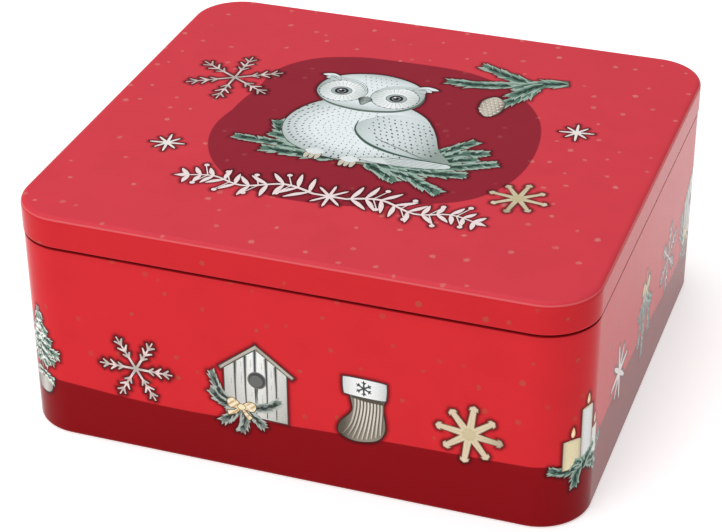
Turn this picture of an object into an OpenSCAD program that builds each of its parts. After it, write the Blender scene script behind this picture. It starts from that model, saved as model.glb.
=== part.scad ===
// Square cookie tin of folded tinplate with a slip-on lid. Units are millimetres.
// +Z is up, +X runs along the longer side and the front wall faces -Y.
// The origin is the centre of the base, on the surface that the tin stands on.

/* [Overall] */
// Width over the lid, along X
tin_w = 210; // [160:1:260]
// Depth over the lid, along Y
tin_d = 192; // [150:1:240]
// Height from the base to the top of the lid
tin_h = 91; // [60:1:140]
// Corner radius over the lid, seen from above
corner_r = 19.5; // [17:0.5:40]
// Thickness of the tinplate
sheet = 0.28; // [0.22:0.01:0.4]

/* [Lid] */
// Height of the lid, from the lower edge of its skirt to its top
lid_h = 12.3; // [9:0.1:20]
// Outer radius of the bend between the lid's top and its skirt
lid_bend_r = 2.2; // [1:0.1:4]
// Outside diameter of the curl along the skirt's lower edge
lid_curl_d = 1.5; // [1.4:0.1:2]

/* [Body wall] */
// How far the wall's face stands back from the lid's face
wall_inset = 0.3; // [0.1:0.05:0.4]
// Gap between the lid's curl and the neck
neck_gap = 0.35; // [0.3:0.05:0.6]
// Gap under the lid's skirt, above the shoulder
shoulder_gap = 0.4; // [0.3:0.05:0.8]
// Gap between the lid's top and the rim of the body
rim_gap = 0.3; // [0.3:0.05:0.8]
// Outside diameter of the curl along the rim
rim_curl_d = 2; // [1.4:0.1:3]
// Outer radius of the bends at the shoulder
shoulder_bend_r = 0.7; // [0.5:0.05:0.7]
// Outer radius of the bend at the foot of the wall
foot_bend_r = 1.4; // [0.8:0.1:1.8]
// Width of the weld lap up the back wall
weld_w = 1.4; // [0.8:0.1:3]
// Height that the weld lap adds to the sheet
weld_t = 0.12; // [0.08:0.01:0.2]

/* [Bottom] */
// Width of the folded ring that the tin stands on, bend included
foot_ring_w = 4.2; // [3.5:0.1:6]
// Outer radius of the bend from the ring up to its lip
lip_bend_r = 0.6; // [0.45:0.05:1]
// Height of the bottom panel's underside above the table
panel_z = 3; // [2.8:0.1:4]
// Outer radius of the bend between the panel and its edge
panel_bend_r = 0.9; // [0.5:0.1:1.2]
// Distance from the plate's edge to the middle of the stiffening bead
bead_inset = 12; // [9:0.5:12]
// Width of the flat along the top of the bead
bead_flat = 3; // [1:0.5:3]
// Outer radius of the bends at the sides of the bead
bead_bend_r = 0.75; // [0.5:0.05:0.8]

/* [Hidden] */
$fn = 64;
// Lower edge of the lid's skirt, and the flat of the shoulder under it
skirt_z = tin_h - lid_h;
shoulder_z = skirt_z - shoulder_gap;
// Top of the body's rim
rim_z = tin_h - sheet - rim_gap;
// Outer face of the neck, measured inward from the lid's face
neck_inset = lid_curl_d + neck_gap;
// The wall's own outline
wall_w = tin_w - 2 * wall_inset;
wall_d = tin_d - 2 * wall_inset;
wall_r = corner_r - wall_inset;
// Set-back of the neck from the wall's face
neck_step = neck_inset - wall_inset;
// The plate's outline fills the wall
plate_w = wall_w - 2 * sheet;
plate_d = wall_d - 2 * sheet;
plate_r = wall_r - sheet;
// Half the width over the bead's feet
bead_half = bead_flat / 2 + 2 * bead_bend_r - sheet;
// Distance from the plate's edge to the flat middle, just past the bead
panel_inset = bead_inset + bead_half + 1;
// Width of the slit that leaves a curl open
curl_slit = 0.3;
paint_red = [0.85, 0.17, 0.2];
tinplate_grey = [0.72, 0.72, 0.71];

// Rounded rectangle centred on the origin
module rounded(w, d, r) {
    square([w - 2 * r, d], center = true);
    square([w, d - 2 * r], center = true);
    for (x = [-1, 1], y = [-1, 1])
        translate([x * (w / 2 - r), y * (d / 2 - r)]) circle(r);
}

// Carries a profile round a rounded rectangle. The profile's x = 0 is the outline and -x is inward.
module around(w, d, r) {
    for (k = [0:3]) {
        across = k % 2 == 0 ? w : d;
        along = k % 2 == 0 ? d : w;
        rotate(90 * k) {
            translate([across / 2, along / 2 - r, 0])
                rotate([90, 0, 0]) linear_extrude(along - 2 * r) children();
            translate([across / 2 - r, along / 2 - r, 0])
                rotate_extrude(angle = 90) translate([r, 0]) children();
        }
    }
}

// A quarter turn of bent sheet with outer radius r, in quadrant q, where 0 is the +X +Y one
module bend(r, q) {
    rotate(90 * q) intersection() {
        difference() {
            circle(r);
            circle(r - sheet);
        }
        square(r);
    }
}

// A curl of sheet with its outer face at x = 0 and its lowest or highest point at y = 0.
// The slit at its inner side leaves the roll open.
module curl(d, up) {
    r = d / 2;
    translate([-r, up * r]) difference() {
        circle(r);
        circle(r - sheet);
        translate([-r - sheet, -curl_slit / 2]) square([3 * sheet, curl_slit]);
    }
}

module lid_profile() {
    curl(lid_curl_d, 1);
    translate([-sheet, lid_curl_d / 2])
        square([sheet, lid_h - lid_bend_r - lid_curl_d / 2]);
    translate([-lid_bend_r, lid_h - lid_bend_r]) bend(lid_bend_r, 0);
}

module lid() {
    color(paint_red) {
        translate([0, 0, skirt_z]) around(tin_w, tin_d, corner_r) lid_profile();
        translate([0, 0, tin_h - sheet]) linear_extrude(sheet)
            rounded(tin_w - 2 * lid_bend_r, tin_d - 2 * lid_bend_r, corner_r - lid_bend_r);
    }
}

module wall_profile() {
    neck_x = -neck_step;
    turn_r = shoulder_bend_r;
    // Lip, foot ring and foot bend
    translate([-foot_ring_w, lip_bend_r]) square([sheet, panel_z - lip_bend_r]);
    translate([lip_bend_r - foot_ring_w, lip_bend_r]) bend(lip_bend_r, 2);
    translate([lip_bend_r - foot_ring_w, 0])
        square([foot_ring_w - lip_bend_r - foot_bend_r, sheet]);
    translate([-foot_bend_r, foot_bend_r]) bend(foot_bend_r, 3);
    // Wall
    translate([-sheet, foot_bend_r]) square([sheet, shoulder_z - turn_r - foot_bend_r]);
    // Shoulder, bent in and then up
    translate([-turn_r, shoulder_z - turn_r]) bend(turn_r, 0);
    translate([neck_x + turn_r - sheet, shoulder_z - sheet])
        square([neck_step - 2 * turn_r + sheet, sheet]);
    translate([neck_x + turn_r - sheet, shoulder_z + turn_r - sheet]) bend(turn_r, 2);
    // Neck and rim curl
    translate([neck_x - sheet, shoulder_z + turn_r - sheet])
        square([sheet, rim_z - rim_curl_d / 2 - shoulder_z - turn_r + sheet]);
    translate([neck_x, rim_z]) curl(rim_curl_d, -1);
}

module body_wall() {
    color(paint_red) {
        around(wall_w, wall_d, wall_r) wall_profile();
        translate([-weld_w / 2, wall_d / 2 - sheet - weld_t, panel_z + sheet])
            cube([weld_w, weld_t + sheet / 2, shoulder_z - 2 * shoulder_bend_r - panel_z - sheet]);
    }
}

// Half of the bead, from its middle at x = 0 down to its foot
module half_bead() {
    translate([0, 2 * bead_bend_r - sheet]) square([bead_flat / 2, sheet]);
    translate([bead_flat / 2, bead_bend_r]) bend(bead_bend_r, 0);
    translate([bead_half, bead_bend_r]) bend(bead_bend_r, 2);
}

module plate_profile() {
    // Edge pressed into the wall's fold
    edge_top = panel_z + sheet - panel_bend_r;
    translate([-sheet, foot_bend_r]) square([sheet, edge_top - foot_bend_r]);
    translate([-panel_bend_r, edge_top]) bend(panel_bend_r, 0);
    // Border of the panel, the bead and the strip inside it
    translate([bead_half - bead_inset, panel_z])
        square([bead_inset - bead_half - panel_bend_r, sheet]);
    translate([-bead_inset, panel_z]) for (m = [0, 1]) mirror([m, 0]) half_bead();
    translate([-panel_inset, panel_z]) square([panel_inset - bead_inset - bead_half, sheet]);
}

module bottom_plate() {
    color(tinplate_grey) {
        around(plate_w, plate_d, plate_r) plate_profile();
        translate([0, 0, panel_z]) linear_extrude(sheet)
            rounded(plate_w - 2 * panel_inset, plate_d - 2 * panel_inset, plate_r - panel_inset);
    }
}

lid();
body_wall();
bottom_plate();
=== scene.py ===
"""The square cookie tin: camera and light, the three bent sheets, and the printed picture on them."""

import bisect
import math
import random

import bpy
from mathutils import Matrix, Vector, geometry, kdtree


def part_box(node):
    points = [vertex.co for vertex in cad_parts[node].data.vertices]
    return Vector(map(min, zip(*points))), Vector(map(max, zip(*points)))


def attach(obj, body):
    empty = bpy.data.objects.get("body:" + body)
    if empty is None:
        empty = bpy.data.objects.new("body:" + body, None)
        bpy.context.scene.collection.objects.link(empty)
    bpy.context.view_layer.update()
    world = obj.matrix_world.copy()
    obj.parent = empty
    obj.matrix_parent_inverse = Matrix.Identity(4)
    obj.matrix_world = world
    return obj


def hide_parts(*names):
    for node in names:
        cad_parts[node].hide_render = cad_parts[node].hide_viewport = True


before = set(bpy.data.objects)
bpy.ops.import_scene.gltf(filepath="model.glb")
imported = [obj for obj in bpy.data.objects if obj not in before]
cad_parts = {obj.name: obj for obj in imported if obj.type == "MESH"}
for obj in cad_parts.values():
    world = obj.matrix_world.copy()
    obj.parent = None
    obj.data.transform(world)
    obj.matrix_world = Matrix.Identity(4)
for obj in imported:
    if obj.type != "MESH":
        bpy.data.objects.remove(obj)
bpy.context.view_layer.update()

MM = 0.001
lid_low, lid_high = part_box("lid")
wall_low, wall_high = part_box("body_wall")

# Sizes in millimetres. The overall ones come from the frame, the rest are the sheet-metal details of the CAD.
LID_W = (lid_high.x - lid_low.x) / MM
LID_D = (lid_high.y - lid_low.y) / MM
TOP_Z = lid_high.z / MM
SKIRT_Z = lid_low.z / MM
WALL_W = (wall_high.x - wall_low.x) / MM
WALL_D = (wall_high.y - wall_low.y) / MM
RIM_Z = wall_high.z / MM
SHEET = 0.28
CORNER_R = 19.5
WALL_R = CORNER_R - (LID_W - WALL_W) / 2
LID_BEND_R = 2.2
LID_CURL_R = 0.75
RIM_CURL_R = 1.0
NECK_STEP = 1.55
SHOULDER_Z = SKIRT_Z - 0.4
SHOULDER_R = 0.7
FOOT_R = 1.4
FOOT_RING = 4.2
LIP_R = 0.6
PANEL_Z = 3.0
PANEL_R = 0.9
BEAD_INSET = 12.0
BEAD_FLAT = 3.0
BEAD_R = 0.75
BARE_MARGIN_Z = SHOULDER_Z + 6.5
ARC_STEPS = 24


# ---------------------------------------------------------------- camera and light

# The camera's place, target and roll were fitted to the tin's edges in the photo
CAMERA_LENS = 107.4
CAMERA_PLACE = (0.2304, -0.6671, 0.4588)
CAMERA_TARGET = Vector((-0.0040, -0.0071, 0.0367))
CAMERA_ROLL = -0.47
LIGHT_TARGET = Vector((0, 0, 0.05))
WORLD_STRENGTH = 0.34
FLOOR_REACH = 30
FLOOR_GLOW = 0.5


def add_object(name, data):
    """A new object with this data, linked into the scene."""
    item = bpy.data.objects.new(name, data)
    bpy.context.scene.collection.objects.link(item)
    return item


def make_camera():
    data = bpy.data.cameras.new("camera")
    data.lens = CAMERA_LENS
    camera = add_object("camera", data)
    camera.location = CAMERA_PLACE
    aim = (CAMERA_TARGET - camera.location).to_track_quat("-Z", "Y")
    roll = Matrix.Rotation(math.radians(CAMERA_ROLL), 4, "Z")
    camera.rotation_euler = (aim.to_matrix().to_4x4() @ roll).to_euler()
    bpy.context.scene.camera = camera


def area_light(name, place, size, power):
    data = bpy.data.lights.new(name, "AREA")
    data.shape = "RECTANGLE"
    data.size, data.size_y = size
    data.energy = power
    light = add_object(name, data)
    light.location = place
    light.rotation_euler = (LIGHT_TARGET - light.location).to_track_quat("-Z", "Y").to_euler()


def make_light():
    world = bpy.data.worlds.new("studio")
    world.use_nodes = True
    background = world.node_tree.nodes["Background"]
    background.inputs["Color"].default_value = (1.0, 1.0, 1.0, 1.0)
    background.inputs["Strength"].default_value = WORLD_STRENGTH
    bpy.context.scene.world = world
    bpy.context.scene.view_settings.view_transform = "Standard"
    area_light("key", (-0.5, -1.3, 1.1), (1.4, 1.2), 12.8)
    area_light("top", (-0.3, 0.2, 1.7), (1.8, 1.6), 16.5)


# ---------------------------------------------------------------- node helpers

class Graph:
    """A material's nodes, with short ways to add the common ones. Sockets and numbers both work as inputs."""

    def __init__(self, name):
        self.material = bpy.data.materials.new(name)
        self.material.use_nodes = True
        self.tree = self.material.node_tree
        self.shader = self.tree.nodes["Principled BSDF"]

    def put(self, socket, value):
        if isinstance(value, bpy.types.NodeSocket):
            self.tree.links.new(value, socket)
        elif value is not None:
            socket.default_value = value

    def node(self, kind, settings=(), **inputs):
        node = self.tree.nodes.new("ShaderNode" + kind)
        for key, value in dict(settings).items():
            setattr(node, key, value)
        for key, value in inputs.items():
            self.put(node.inputs[key.replace("_", " ")], value)
        return node

    def math(self, operation, a, b=None, c=None):
        node = self.node("Math", {"operation": operation})
        for socket, value in zip(node.inputs, (a, b, c)):
            self.put(socket, value)
        return node.outputs[0]

    def times(self, a, b):
        return self.math("MULTIPLY", a, b)

    def minus(self, a, b):
        return self.math("SUBTRACT", a, b)

    def mix(self, factor, a, b):
        node = self.node("Mix", {"data_type": "RGBA"})
        self.put(node.inputs[0], factor)
        self.put(node.inputs[6], a)
        self.put(node.inputs[7], b)
        return node.outputs[2]

    def step(self, value, low, high):
        """0 below low, 1 above high and smooth between them."""
        node = self.node("MapRange", {"interpolation_type": "SMOOTHSTEP"})
        for socket, number in zip(node.inputs, (value, low, high, 0.0, 1.0)):
            self.put(socket, number)
        return node.outputs[0]

    def noise(self, vector, scale, detail=3.0, roughness=0.5):
        node = self.node("TexNoise", Vector=vector, Scale=scale, Detail=detail, Roughness=roughness)
        return node.outputs[0]

    def curve(self, value, points, low, high, tallest):
        """A smooth curve through points of (value, height), for values from low to high."""
        node = self.node("FloatCurve")
        line = node.mapping.curves[0].points
        places = [((x - low) / (high - low), y / tallest) for x, y in points]
        for point, place in zip((line[0], line[-1]), (places[0], places[-1])):
            point.location = place
        for x, y in places[1:-1]:
            line.new(x, y)
        node.mapping.update()
        share = self.math("DIVIDE", self.minus(value, low), high - low)
        self.put(node.inputs["Value"], share)
        return self.times(node.outputs[0], tallest)

    def bump(self, height, strength, distance):
        node = self.node("Bump", Height=height, Strength=strength, Distance=distance)
        self.put(self.shader.inputs["Normal"], node.outputs[0])


def colour(red, green, blue):
    """A linear colour from a screen colour, given from 0 to 255."""
    def linear(v):
        v = v / 255
        return v / 12.92 if v <= 0.04045 else ((v + 0.055) / 1.055) ** 2.4
    return (linear(red), linear(green), linear(blue), 1.0)


# ---------------------------------------------------------------- materials

LID_RED = colour(213, 63, 75)
WALL_RED = colour(207, 41, 48)
DEEP_RED = colour(134, 8, 17)
PEBBLE_RED = colour(148, 36, 52)
LID_FLECK = colour(214, 142, 132)
WALL_FLECK = colour(164, 88, 66)
SHADE = colour(58, 8, 12)
# Painted shade: the dark red of the gap between the lid and the wall's shoulder
SEAM_SHADE_RED = colour(112, 4, 10)
# Painted highlight: the pink of a pale line along the lid's top bend
HIGHLIGHT_PINK = colour(255, 150, 156)


# The pebble's radius by its angle in degrees, and the band's height by the distance round the wall
PEBBLE_EDGE = [(-180, 57.5), (-150, 62.5), (-118, 62), (-90, 57), (-60, 56), (-34, 61), (6, 60), (32, 61.5),
               (68, 61.5), (95, 60), (118, 65), (132, 67.5), (146, 65.5), (160, 59), (180, 57.5)]
BAND_EDGE = [(-384.3, 24), (-320, 28), (-250, 26), (-170, 25), (-96, 23.2), (-40, 20.7), (-5, 22.8),
             (38, 24.5), (88, 25.7), (140, 28.8), (250, 21), (320, 20.5), (384.3, 24)]
FLECK_CELL = 12.2
# Height of the painted shade line in the gap under the lid
SEAM_SHADE_Z = SKIRT_Z - 0.3
# Height of the painted highlight line on the lid's bend
HIGHLIGHT_LINE_Z = TOP_Z - 1.05
WELD_HALF = 0.5


def flecks(g, place, cell, small, big):
    """Small scattered flakes, from small to big in radius: up to 1 inside a flake and 0 elsewhere. About a
    third of the cells stay empty."""
    cells = g.node("TexVoronoi", {"voronoi_dimensions": "2D"}, Vector=place, Scale=1 / cell, Randomness=0.95)
    lot = g.node("SeparateColor")
    g.put(lot.inputs[0], cells.outputs["Color"])
    uneven = g.times(g.minus(g.noise(place, 0.9, 2.0), 0.5), 1.3 / cell)
    away = g.math("ADD", cells.outputs["Distance"], uneven)
    edge = g.math("MULTIPLY_ADD", lot.outputs[0], (big - small) / cell, small / cell)
    inside = g.step(g.minus(edge, away), -0.3 / cell, 0.3 / cell)
    strength = g.math("MULTIPLY_ADD", lot.outputs[1], 0.55, 0.45)
    return g.times(g.times(inside, strength), g.step(lot.outputs[2], 0.3, 0.34))


def print_material():
    """Printed and lacquered sheet. The mesh says where the ink lies: flat is the place on the unrolled sheet,
    in millimetres, with 1 as its third number on the lid's top, ink is a drawn colour, inked says where there
    is one, and halo is the soft shade beside it."""
    g = Graph("red_print")
    flat = g.node("Attribute", {"attribute_name": "flat"}).outputs["Vector"]
    ink = g.node("Attribute", {"attribute_name": "ink"})
    inked = g.node("Attribute", {"attribute_name": "inked"}).outputs["Fac"]
    halo = g.node("Attribute", {"attribute_name": "halo"}).outputs["Fac"]
    split = g.node("SeparateXYZ", Vector=flat)
    across, up, on_top = split.outputs

    # The dark pebble on the lid: a radius that swells and shrinks with the angle
    angle = g.math("DEGREES", g.math("ARCTAN2", up, across))
    reach = g.curve(angle, PEBBLE_EDGE, -180, 180, 100)
    away = g.math("SQRT", g.math("ADD", g.times(across, across), g.times(up, up)))
    pebble = g.times(g.step(g.minus(reach, away), -0.3, 0.3), on_top)

    # The dark band round the foot, with a wavy upper edge
    edge = g.curve(across, BAND_EDGE, -PERIMETER / 2, PERIMETER / 2, 50)
    on_wall = g.minus(1.0, on_top)
    band = g.times(g.step(g.minus(edge, up), -0.25, 0.25), on_wall)

    # Deeper red on the lid's skirt with a painted shadow below it on the wall, and painted shade in the
    # seam's gap
    skirt_tone_and_shadow = g.times(g.step(up, SKIRT_Z - 4.0, SKIRT_Z - 0.6), 0.1)
    base = g.mix(on_top, g.mix(skirt_tone_and_shadow, WALL_RED, DEEP_RED), LID_RED)
    off_seam_shade = g.math("ABSOLUTE", g.minus(up, SEAM_SHADE_Z))
    seam_shade = g.times(g.minus(1.0, g.step(off_seam_shade, 0.45, 0.75)), on_wall)
    base = g.mix(band, g.mix(pebble, base, PEBBLE_RED), DEEP_RED)
    calm = g.minus(1.0, g.math("MAXIMUM", band, g.times(pebble, 0.8)))
    sprinkled = g.times(flecks(g, flat, FLECK_CELL, 0.6, 1.15), calm)
    base = g.mix(g.times(sprinkled, 0.6), base, g.mix(on_top, WALL_FLECK, LID_FLECK))
    cloud = g.noise(flat, 0.05, 4.0, 0.6)
    base = g.mix(g.times(g.step(cloud, 0.3, 0.8), 0.06), base, SHADE)
    # Painted shade: a dark red line in the gap between the lid and the wall's shoulder
    base = g.mix(g.times(seam_shade, 0.9), base, SEAM_SHADE_RED)
    # Painted highlight: a pale pink line round the lid's top bend
    off_highlight = g.math("ABSOLUTE", g.minus(up, HIGHLIGHT_LINE_Z))
    rim = g.times(g.minus(1.0, g.step(off_highlight, 0.1, 0.5)), on_wall)
    base = g.mix(g.times(rim, 0.3), base, HIGHLIGHT_PINK)
    base = g.mix(g.times(halo, 0.85), base, SHADE)

    # The unprinted strip along the welded side seam, in the middle of the back wall
    strip = g.step(g.math("ABSOLUTE", across), PERIMETER / 2 - WELD_HALF, PERIMETER / 2 - 0.3)
    weld = g.times(g.times(strip, g.math("LESS_THAN", up, SHOULDER_Z)), on_wall)
    base = g.mix(weld, base, colour(150, 138, 140))

    # Watercolour grain in the drawn ink
    grain = g.noise(flat, 1.6, 5.0, 0.65)
    paper = g.math("MULTIPLY_ADD", grain, 0.5, 0.74)
    washed = g.node("HueSaturation", Color=ink.outputs["Color"], Value=paper).outputs[0]
    g.put(g.shader.inputs["Base Color"], g.mix(inked, base, washed))

    g.shader.inputs["IOR"].default_value = 1.135
    smear = g.noise(flat, 0.09, 3.0, 0.6)
    g.put(g.shader.inputs["Metallic"], weld)
    # Rougher on the bare weld strip and on the painted seam shade, which dulls the reflection in the gap
    weld_and_seam_roughness = g.math("MAXIMUM", g.times(weld, 0.3), g.times(seam_shade, 0.6))
    g.put(g.shader.inputs["Roughness"], g.math("ADD", g.math("MULTIPLY_ADD", smear, 0.1, 0.08), weld_and_seam_roughness))
    peel = g.math("MULTIPLY_ADD", g.noise(flat, 0.9, 2.0), 0.04, g.noise(flat, 0.018, 1.0))
    g.bump(peel, 0.15, 0.0006)
    return g.material


def tinplate_material():
    """Bright rolled tinplate under a thin clear lacquer, with fine rolling lines along X."""
    g = Graph("tinplate")
    place = g.node("TexCoord").outputs["Object"]
    stretched = g.node("Mapping", Vector=place)
    stretched.inputs["Scale"].default_value = (18.0, 900.0, 900.0)
    lines = g.noise(stretched.outputs[0], 1.0, 4.0, 0.6)
    smear = g.noise(place, 35.0, 4.0, 0.6)
    dull = g.mix(smear, colour(196, 197, 198), colour(222, 221, 216))
    g.put(g.shader.inputs["Base Color"], g.mix(g.times(lines, 0.35), dull, colour(168, 170, 173)))
    g.shader.inputs["Metallic"].default_value = 1.0
    g.put(g.shader.inputs["Roughness"], g.math("MULTIPLY_ADD", g.math("ADD", lines, smear), 0.12, 0.2))
    g.bump(lines, 0.12, 0.0001)
    return g.material


def floor_material():
    """A matt white studio floor that glows a little, so that it comes out as white as the photo's."""
    g = Graph("floor")
    place = g.node("TexCoord").outputs["Object"]
    soft = g.noise(place, 2.0, 2.0)
    g.put(g.shader.inputs["Base Color"], g.mix(soft, (0.82, 0.82, 0.82, 1.0), (0.86, 0.86, 0.86, 1.0)))
    g.shader.inputs["Roughness"].default_value = 0.9
    g.shader.inputs["Specular IOR Level"].default_value = 0.1
    g.shader.inputs["Emission Color"].default_value = (1.0, 1.0, 1.0, 1.0)
    g.shader.inputs["Emission Strength"].default_value = FLOOR_GLOW
    return g.material


# ---------------------------------------------------------------- bent sheets

def columns(w, d, r):
    """Stations round a rounded rectangle: anchor x, y, normal x, y and the distance along it from the front's
    middle. A point that lies in from the outline by some inset is anchor + (r - inset) * normal."""
    half_w, half_d = w / 2 - r, d / 2 - r
    corners = [(-half_w, half_d, 90), (-half_w, -half_d, 180), (half_w, -half_d, 270), (half_w, half_d, 0)]
    out = [(0.0, half_d, 0.0, 1.0)]
    for x, y, start in corners:
        for i in range(ARC_STEPS + 1):
            a = math.radians(start + 90 * i / ARC_STEPS)
            out.append((x, y, math.cos(a), math.sin(a)))
    out.append((0.0, half_d, 0.0, 1.0))
    run, places = 0.0, []
    for i, (x, y, nx, ny) in enumerate(out):
        if i:
            px, py, pnx, pny = out[i - 1]
            turned = math.acos(max(-1.0, min(1.0, nx * pnx + ny * pny)))
            run += math.hypot(x - px, y - py) + turned * r
        places.append(run)
    return [column + (place - run / 2,) for column, place in zip(out, places)]


WALL_COLUMNS = columns(WALL_W, WALL_D, WALL_R)
PERIMETER = 2 * WALL_COLUMNS[-1][4]


def arc(x, z, r, start, end, steps=8):
    """Points round (x, z) from one angle to another, in degrees."""
    angles = [math.radians(start + (end - start) * i / steps) for i in range(steps + 1)]
    return [(x + r * math.cos(a), z + r * math.sin(a)) for a in angles]


def sheet_sides(path):
    """The two faces of a sheet whose middle line is path: along its left face, and back along its right."""
    left, right = [], []
    for i, (x, z) in enumerate(path):
        ax, az = path[max(i - 1, 0)]
        bx, bz = path[min(i + 1, len(path) - 1)]
        length = math.hypot(bx - ax, bz - az)
        nx, nz = -(bz - az) / length * SHEET / 2, (bx - ax) / length * SHEET / 2
        left.append((x + nx, z + nz))
        right.append((x - nx, z - nz))
    return left, right[::-1]


def sweep_sheet(name, path, stations, r, printed, lid=False, closed_ends=False):
    """Carries a sheet's middle line round the stations. Without closed_ends, its first point is the rim of a
    flat panel, which is filled on both sides. printed(x, z) says where the left face is printed."""
    left, right = sheet_sides(path)
    chain = left + right
    ring = stations[:-1]
    verts = [((ax + (r + x) * nx) * MM, (ay + (r + x) * ny) * MM, z * MM)
             for ax, ay, nx, ny, _ in ring for x, z in chain]
    count, total = len(chain), len(ring)
    faces, slots = [], []
    for c in range(total):
        e = (c + 1) % total
        for k in range(count if closed_ends else count - 1):
            m = (k + 1) % count
            faces.append((c * count + k, c * count + m, e * count + m, e * count + k))
            x, z = chain[k]
            slots.append(0 if k < len(left) - 1 and printed(x, z) else 1)
    if not closed_ends:
        faces.append([c * count for c in range(total)])
        faces.append([c * count + count - 1 for c in reversed(range(total))])
        slots += [0 if printed(*chain[0]) else 1, 1]
    mesh = bpy.data.meshes.new(name)
    mesh.from_pydata(verts, [], faces)
    mesh.polygons.foreach_set("material_index", slots)
    mesh.polygons.foreach_set("use_smooth", [True] * len(faces))
    write_flat(mesh, stations, count, lid)
    write_normals(mesh, ring, chain, len(left))
    return mesh


def write_normals(mesh, ring, chain, turn):
    """The exact normals of the bent sheet. The raw edges, after point turn - 1 and the last, stay crisp."""
    count = len(chain)
    slopes = []
    for k in range(count):
        first, last = (0, turn - 1) if k < turn else (turn, count - 1)
        (ax, az), (bx, bz) = chain[max(k - 1, first)], chain[min(k + 1, last)]
        length = math.hypot(bx - ax, bz - az)
        slopes.append((-(bz - az) / length, (bx - ax) / length))
    normals = []
    for face in mesh.polygons:
        points = [mesh.loops[i].vertex_index for i in face.loop_indices]
        raw = {p % count for p in points} in ({turn - 1, turn}, {0, count - 1})
        for p in points:
            _, _, nx, ny, _ = ring[p // count]
            out, up = slopes[p % count]
            normals.append(tuple(face.normal) if raw else (out * nx, out * ny, up))
    mesh.normals_split_custom_set(normals)


def write_flat(mesh, stations, count, lid):
    """The flat attribute: the place on the unrolled sheet, in millimetres, for each corner of each face."""
    layer = mesh.attributes.new("flat", "FLOAT_VECTOR", "CORNER")
    total = len(stations) - 1
    values = []
    for face in mesh.polygons:
        on_top = lid and face.normal.z > 0.7
        last = any(mesh.loops[i].vertex_index // count == total - 1 for i in face.loop_indices)
        for i in face.loop_indices:
            v = mesh.vertices[mesh.loops[i].vertex_index].co / MM
            column = mesh.loops[i].vertex_index // count
            if on_top:
                values += [v.x, v.y, 1.0]
            else:
                run = stations[-1][4] if last and column == 0 else stations[column][4]
                values += [run, v.z, 0.0]
    layer.data.foreach_set("vector", values)


def add_piece(name, mesh, materials, body):
    for material in materials:
        mesh.materials.append(material)
    piece = add_object(name, mesh)
    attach(piece, body)
    return piece


def make_lid(materials):
    half = SHEET / 2
    bend = LID_BEND_R - half
    curl = LID_CURL_R - half
    path = [(-LID_BEND_R - 2.0, TOP_Z - half), (-LID_BEND_R - 0.6, TOP_Z - half)]
    path += arc(-LID_BEND_R, TOP_Z - LID_BEND_R, bend, 90, 0, 10)
    path += [(-half, TOP_Z - LID_BEND_R - 0.6), (-half, SKIRT_Z + LID_CURL_R + 0.4)]
    path += arc(-LID_CURL_R, SKIRT_Z + LID_CURL_R, curl, 0, -300, 20)
    stations = columns(LID_W, LID_D, CORNER_R)
    mesh = sweep_sheet("lid_sheet", path, stations, CORNER_R, lambda x, z: True, lid=True)
    piece = add_piece("lid_sheet", mesh, materials, "lid")
    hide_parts("lid")


def make_wall(materials):
    half = SHEET / 2
    neck = -NECK_STEP
    path = arc(neck - RIM_CURL_R, RIM_Z - RIM_CURL_R, RIM_CURL_R - half, 300, 0, 22)
    path += [(neck - half, RIM_Z - RIM_CURL_R - 0.4), (neck - half, BARE_MARGIN_Z),
             (neck - half, SHOULDER_Z + SHOULDER_R + 0.3)]
    inner = (neck - SHEET + SHOULDER_R, SHOULDER_Z - SHEET + SHOULDER_R)
    path += arc(*inner, SHOULDER_R - half, 180, 270, 6)
    path += arc(-SHOULDER_R, SHOULDER_Z - SHOULDER_R, SHOULDER_R - half, 90, 0, 6)
    path += [(-half, SHOULDER_Z - SHOULDER_R - 0.5), (-half, FOOT_R + 0.5)]
    path += arc(-FOOT_R, FOOT_R, FOOT_R - half, 0, -90, 8)
    path += arc(LIP_R - FOOT_RING, LIP_R, LIP_R - half, 270, 180, 5)
    path += [(half - FOOT_RING, PANEL_Z)]

    def printed(x, z):
        return z < BARE_MARGIN_Z + 0.01 and not (x < 0.5 - FOOT_RING)

    mesh = sweep_sheet("wall_sheet", path, WALL_COLUMNS, WALL_R, printed, closed_ends=True)
    piece = add_piece("wall_sheet", mesh, materials, "tin")
    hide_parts("body_wall")


def make_weld(materials):
    """The pressed weld on the inside of the back wall: one low ridge on the wall and one on the neck."""
    mesh = bpy.data.meshes.new("weld_seam")
    profile = ((-0.7, 0.05), (-0.55, -0.08), (-0.2, -0.12), (0.2, -0.12), (0.55, -0.08), (0.7, 0.05))
    side, rows = len(profile), 24
    verts, faces = [], []
    for face_y, low, high in ((WALL_D / 2 - SHEET, PANEL_Z + SHEET + 0.1, SHOULDER_Z - 1.4),
                              (WALL_D / 2 - NECK_STEP - SHEET, SHOULDER_Z + 0.8, RIM_Z - 2.1 * RIM_CURL_R)):
        start = len(verts)
        for i in range(rows + 1):
            z = low + (high - low) * i / rows
            verts += [(x * MM, (face_y + y) * MM, z * MM) for x, y in profile]
        for i in range(rows):
            for k in range(side):
                a, b = start + i * side + k, start + i * side + (k + 1) % side
                faces.append((b, a, a + side, b + side))
        faces.append(tuple(start + k for k in range(side)))
        faces.append(tuple(start + rows * side + side - 1 - k for k in range(side)))
    mesh.from_pydata(verts, [], faces)
    add_piece("weld_seam", mesh, materials, "tin")


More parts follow.
